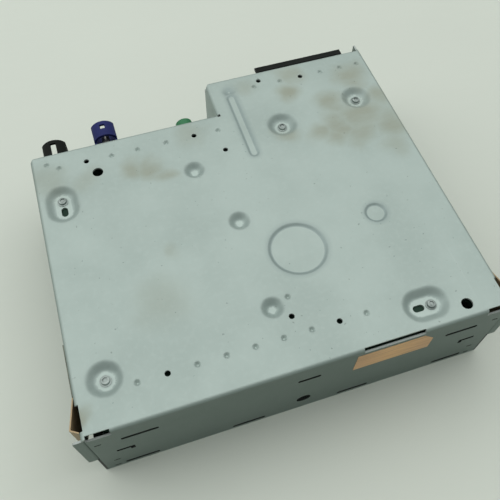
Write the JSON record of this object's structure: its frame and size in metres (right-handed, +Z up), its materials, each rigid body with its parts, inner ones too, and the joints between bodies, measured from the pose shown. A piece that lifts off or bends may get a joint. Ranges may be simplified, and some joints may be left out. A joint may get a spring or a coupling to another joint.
{
  "type": "car stereo head unit",
  "caption": "Single-slot dashboard radio chassis with its front panel off: pressed steel tray, board, finned heat sink and rear sockets.",
  "frame": {"origin": "middle of the footprint, on the surface that the unit lies on", "axes": "+X to the right seen from the front wall, +Y to the rear, +Z up through the pressed plate"},
  "size_m": [0.1852, 0.1662, 0.05],
  "materials": {
    "zinc_steel": "dull zinc plate with a faint grey-green cast",
    "tan_label": "bare paper label, matt",
    "bright_steel": "bright zinc plate",
    "bronze_spring": "yellowed spring steel",
    "board_green": "green solder mask",
    "tinned_can": "tinned sheet",
    "chip_black": "moulded epoxy",
    "capacitor_sleeve": "dark shrink sleeve",
    "black_aluminium": "black anodised",
    "die_cast": "die-cast, nickel plated",
    "contact_brass": "plated brass",
    "black_plastic": "moulded, satin",
    "blue_plastic": "moulded, satin",
    "green_plastic": "moulded, satin",
    "fuse_plastic": "clear-tinted moulding",
    "header_plastic": "moulded, natural colour"
  },
  "bodies": {
    "chassis": {"chassis_tray": "zinc_steel", "bottom_lid": "zinc_steel", "front_label": "tan_label", "board_screws": "bright_steel", "board_nuts": "bright_steel", "lid_screws": "bright_steel", "left_spring_anchor": "bronze_spring", "right_spring_anchor": "bronze_spring", "spring_rivets": "bright_steel", "main_board": "board_green", "tuner_can": "tinned_can", "receiver_can": "tinned_can", "processor_chip": "chip_black", "processor_shield": "tinned_can", "signal_chip": "chip_black", "converter_chip": "chip_black", "memory_chips": "chip_black", "crystal_unit": "tinned_can", "power_inductor": "chip_black", "big_capacitors": "capacitor_sleeve", "small_capacitors": "capacitor_sleeve", "heat_sink": "black_aluminium", "sink_screws": "bright_steel", "amplifier_chip": "chip_black", "regulator_chip": "chip_black", "chip_clamp": "zinc_steel", "clamp_screw": "bright_steel", "aerial_bases": "die_cast", "aerial_barrels": "bright_steel", "aerial_centre_pins": "contact_brass", "black_aerial_collar": "black_plastic", "blue_aerial_collar": "blue_plastic", "green_aerial_collar": "green_plastic", "socket_block": "black_plastic", "socket_contacts": "contact_brass", "fuse_clips": "contact_brass", "cable_header": "header_plastic"},
    "left_spring": {"left_retention_spring": "bronze_spring"},
    "right_spring": {"right_retention_spring": "bronze_spring"},
    "fuse": {"blade_fuse": "fuse_plastic"},
    "cable_lock_slider": {"cable_lock": "black_plastic"}
  },
  "joints": [
    {"name": "left_spring_flex", "type": "hinge", "parent": "chassis", "child": "left_spring", "pos_m": [-0.08925, -0.06544, 0.0335], "axis": [0, 0, 1], "range_deg": [0, 13], "stiffness_Nm_per_rad": 0.6},
    {"name": "right_spring_flex", "type": "hinge", "parent": "chassis", "child": "right_spring", "pos_m": [0.08925, -0.06544, 0.0335], "axis": [0, 0, -1], "range_deg": [0, 13], "stiffness_Nm_per_rad": 0.6},
    {"name": "fuse_pull", "type": "slide", "parent": "chassis", "child": "fuse", "axis": [0, 1, 0], "range_m": [0, 0.016]},
    {"name": "cable_lock_slide", "type": "slide", "parent": "chassis", "child": "cable_lock_slider", "axis": [0, -1, 0], "range_m": [0, 0.0013]}
  ]
}
